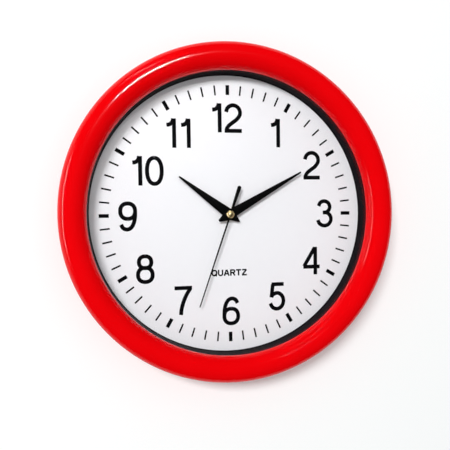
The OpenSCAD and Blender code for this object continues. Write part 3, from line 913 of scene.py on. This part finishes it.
# %% Wall and world
def white_wall():
    material, place = begin("white_wall")
    start = Wire(material.node_tree)
    roller = grain(place, 2.5, 3.0)
    paint = start.node("BsdfPrincipled", inputs={
        "Base Color": tint(roller, (0.914, 0.936, 0.935), (0.934, 0.956, 0.955)),
        "Roughness": 0.9,
        "Specular IOR Level": 0.0,
        "Emission Color": (1.0, 1.0, 1.0, 1.0),
        "Emission Strength": 0.062,
    })
    behind = start.node("NewGeometry", output="Backfacing")
    one_sided = start.node("MixShader", inputs={0: behind, 1: paint, 2: start.node("BsdfTransparent")})
    start.node("OutputMaterial", inputs={"Surface": one_sided})
    return material


def plane(name, y, half_width, low, high):
    """A flat rectangle that faces the viewer."""
    mesh = bpy.data.meshes.new(name)
    corners = [(-half_width, y, low), (half_width, y, low), (half_width, y, high), (-half_width, y, high)]
    mesh.from_pydata(corners, [], [(0, 1, 2, 3)])
    made = bpy.data.objects.new(name, mesh)
    bpy.context.scene.collection.objects.link(made)
    return made


wall_plane = plane("wall", 0.0004, 3.0, -3.0, 3.0)
wall_plane.data.materials.append(white_wall())
wall_plane.visible_shadow = False

world = bpy.data.worlds.new("room_glow")
bpy.context.scene.world = world
world.use_nodes = True
world.node_tree.nodes.clear()
glow = Wire(world.node_tree)
seen = glow.node("LightPath", output="Is Camera Ray")
mirrored = glow.node("LightPath", output="Is Glossy Ray")
AMBIENT, MIRRORED = 0.44, 0.005
strength = seen + (1 - seen) * (mirrored * MIRRORED + (1 - mirrored) * AMBIENT)
backdrop = glow.node("Background", inputs={"Color": (1, 1, 1, 1), "Strength": strength})
glow.node("OutputWorld", inputs={"Surface": backdrop})
print("glow", AMBIENT, "and", MIRRORED, "in reflections")

# %% [markdown]
# ## Lights
# One lamp could give both the shadow and the streaks, but a lamp big enough for a soft shadow makes
# a wide streak. So the work is shared. The key is a soft box high on the left, which shows in no
# reflection. Four small lamps show only in reflections: the front strip draws the white streak on
# the crown, and the top strip and the left strip the pale lines above it and down the left flank.
# The catch light is meant as a bright dot on that flank, but it doesn't show from the front. The
# front strip's narrow spread keeps it off the far side. The last lamp stands behind the wall, which
# throws no shadow, and lights the back of the clock.

# %% Lights
def lamp(name, where, toward, width, height, watts, glossy=True, diffuse=True, spread=180):
    """A rectangular light at where that looks toward a point, with the whole angle that it spreads
    over in degrees. Lights are never seen directly."""
    light = bpy.data.lights.new(name, "AREA")
    light.shape = "RECTANGLE"
    light.size, light.size_y = width, height
    light.energy = watts
    light.spread = radians(spread)
    made = bpy.data.objects.new(name, light)
    made.location = where
    made.rotation_euler = (Vector(toward) - Vector(where)).to_track_quat("-Z", "Y").to_euler()
    made.visible_camera = False
    made.visible_glossy = glossy
    made.visible_diffuse = diffuse
    bpy.context.scene.collection.objects.link(made)
    return made


lamp("key", (-1.150, -2.600, 0.950), (0, 0, 0), 0.90, 0.56, 62, glossy=False)
lamp("front_strip", (-0.060, -0.80, 0.352), (-0.095, 0, 0.105), 0.24, 0.018, 0.62, diffuse=False,
     spread=34)
lamp("top_strip", (-0.36, -0.50, 0.86), (0.05, 0, -0.05), 0.50, 0.02, 1.2, diffuse=False)
lamp("left_strip", (-1.40, -0.35, 0.10), (0, 0, 0), 0.04, 1.2, 14, diffuse=False)
lamp("catch_light", (-1.26, -0.20, 0.45), (-0.13, 0, 0.05), 0.03, 0.03, 0.2, diffuse=False)
lamp("behind", (0.3, 1.3, 0.5), (0, 0, 0), 1.4, 1.0, 14)
print(len(bpy.data.lights), "lamps")

# %% [markdown]
# ## Camera
# The camera stands a little left of the clock, about half a metre away, and looks slightly to the
# right. A long lens from further off would show both sides of the ring alike, but from so near its
# far side shows more of its wall. The lens shift slides the clock to its place in the frame.

# %% Camera
camera_data = bpy.data.cameras.new("camera")
camera_data.lens = 43.2
camera_data.sensor_width = 36.0
camera_data.shift_x = 0.0333
camera_data.shift_y = 0.0444
camera = bpy.data.objects.new("camera", camera_data)
camera.location = (-0.10118, -0.50384, -0.00685)
camera.rotation_euler = (radians(87.5893), radians(0.8689), radians(-9.8028))
bpy.context.scene.collection.objects.link(camera)
bpy.context.scene.camera = camera
bpy.context.scene.view_settings.view_transform = "Standard"
print("camera", round(camera.location.length, 3), "m from the hands' axis")

# %% [markdown]
# ## The end
